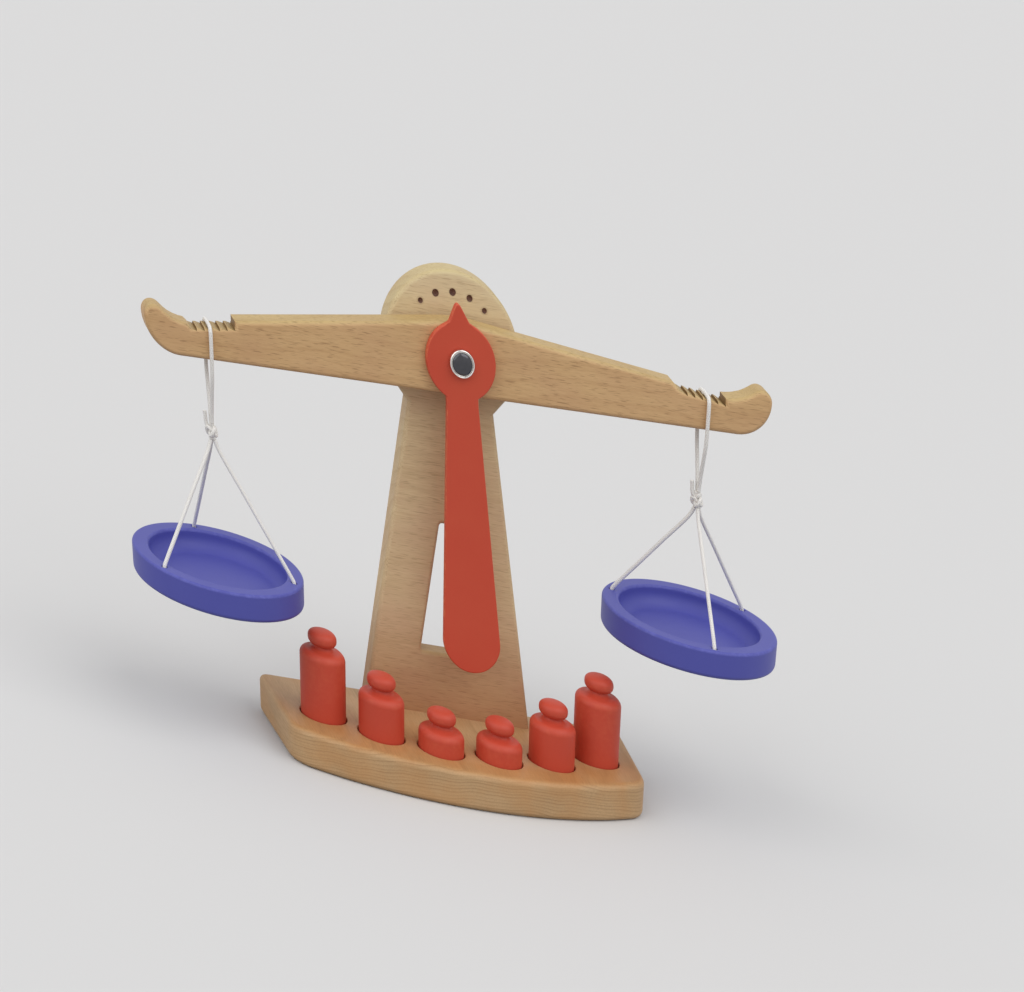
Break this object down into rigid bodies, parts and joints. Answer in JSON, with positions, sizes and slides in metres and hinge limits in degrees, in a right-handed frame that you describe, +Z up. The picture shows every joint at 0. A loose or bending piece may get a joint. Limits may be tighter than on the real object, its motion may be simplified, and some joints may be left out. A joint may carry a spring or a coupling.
{
  "type": "toy balance scale",
  "caption": "Wooden toy balance scale: a notched beam on a tapered post carries two round pans on cord, with knobbed weights in a curved base.",
  "frame": {"origin": "middle of the base's flat underside, halfway between its straight back edge and the foremost point of its front curve", "axes": "+X to the right along the beam, -Y to the front where the weights stand, +Z up along the post"},
  "size_m": [0.3505, 0.1102, 0.2362],
  "materials": {
    "beech": "clear satin",
    "red_lacquer": "satin painted wood",
    "blue_lacquer": "satin painted wood",
    "white_cord": "braided polyester",
    "steel": "bright drawn",
    "cap_chrome": "mirror plated",
    "nylon": "moulded"
  },
  "bodies": {
    "stand": {"base": "beech", "post": "beech", "base_screw_left": "steel", "base_screw_right": "steel", "pivot_pin": "steel", "pivot_cap_front": "cap_chrome", "pivot_cap_rear": "cap_chrome", "pivot_washer": "nylon"},
    "beam": {"beam": "beech", "pointer": "red_lacquer"},
    "loop_left": {"cord_loop_left": "white_cord"},
    "knot_left": {"cord_knot_left": "white_cord"},
    "pan_left": {"pan_left": "blue_lacquer", "cord_leg_left_1": "white_cord", "cord_leg_left_2": "white_cord", "cord_leg_left_3": "white_cord", "cord_stopper_left_1": "white_cord", "cord_stopper_left_2": "white_cord", "cord_stopper_left_3": "white_cord"},
    "loop_right": {"cord_loop_right": "white_cord"},
    "knot_right": {"cord_knot_right": "white_cord"},
    "pan_right": {"pan_right": "blue_lacquer", "cord_leg_right_1": "white_cord", "cord_leg_right_2": "white_cord", "cord_leg_right_3": "white_cord", "cord_stopper_right_1": "white_cord", "cord_stopper_right_2": "white_cord", "cord_stopper_right_3": "white_cord"},
    "weight_tall_left": {"weight_tall_left": "red_lacquer"},
    "weight_medium_left": {"weight_medium_left": "red_lacquer"},
    "weight_small_left": {"weight_small_left": "red_lacquer"},
    "weight_small_right": {"weight_small_right": "red_lacquer"},
    "weight_medium_right": {"weight_medium_right": "red_lacquer"},
    "weight_tall_right": {"weight_tall_right": "red_lacquer"}
  },
  "joints": [
    {"name": "beam_tilt", "type": "hinge", "parent": "stand", "child": "beam", "pos_m": [0, 0.01775, 0.201], "axis": [0, 1, 0], "range_deg": [-7.3, 9.7]},
    {"name": "loop_left_level", "type": "hinge", "parent": "beam", "child": "loop_left", "pos_m": [-0.12925, 0.01775, 0.1974], "axis": [0, 1, 0], "range_deg": [-9.7, 7.3]},
    {"name": "pan_left_swing_depth", "type": "hinge", "parent": "loop_left", "child": "knot_left", "pos_m": [-0.12925, 0.01775, 0.1476], "axis": [1, 0, 0], "range_deg": [-20, 20]},
    {"name": "pan_left_swing_side", "type": "hinge", "parent": "knot_left", "child": "pan_left", "pos_m": [-0.12925, 0.01775, 0.1476], "axis": [0, 1, 0], "range_deg": [-20, 20]},
    {"name": "loop_right_level", "type": "hinge", "parent": "beam", "child": "loop_right", "pos_m": [0.12929, 0.01775, 0.20281], "axis": [0, 1, 0], "range_deg": [-9.7, 7.3]},
    {"name": "pan_right_swing_depth", "type": "hinge", "parent": "loop_right", "child": "knot_right", "pos_m": [0.12929, 0.01775, 0.15301], "axis": [1, 0, 0], "range_deg": [-20, 20]},
    {"name": "pan_right_swing_side", "type": "hinge", "parent": "knot_right", "child": "pan_right", "pos_m": [0.12929, 0.01775, 0.15301], "axis": [0, -1, 0], "range_deg": [-20, 20]},
    {"name": "weight_tall_left_lift", "type": "slide", "parent": "stand", "child": "weight_tall_left", "axis": [0, 0, 1], "range_m": [0, 0.012]},
    {"name": "weight_medium_left_lift", "type": "slide", "parent": "stand", "child": "weight_medium_left", "axis": [0, 0, 1], "range_m": [0, 0.012]},
    {"name": "weight_small_left_lift", "type": "slide", "parent": "stand", "child": "weight_small_left", "axis": [0, 0, 1], "range_m": [0, 0.012]},
    {"name": "weight_small_right_lift", "type": "slide", "parent": "stand", "child": "weight_small_right", "axis": [0, 0, 1], "range_m": [0, 0.012]},
    {"name": "weight_medium_right_lift", "type": "slide", "parent": "stand", "child": "weight_medium_right", "axis": [0, 0, 1], "range_m": [0, 0.012]},
    {"name": "weight_tall_right_lift", "type": "slide", "parent": "stand", "child": "weight_tall_right", "axis": [0, 0, 1], "range_m": [0, 0.012]}
  ],
  "couplings": [
    {"joint": "loop_left_level", "follows": "beam_tilt", "ratio": -1},
    {"joint": "loop_right_level", "follows": "beam_tilt", "ratio": -1}
  ]
}
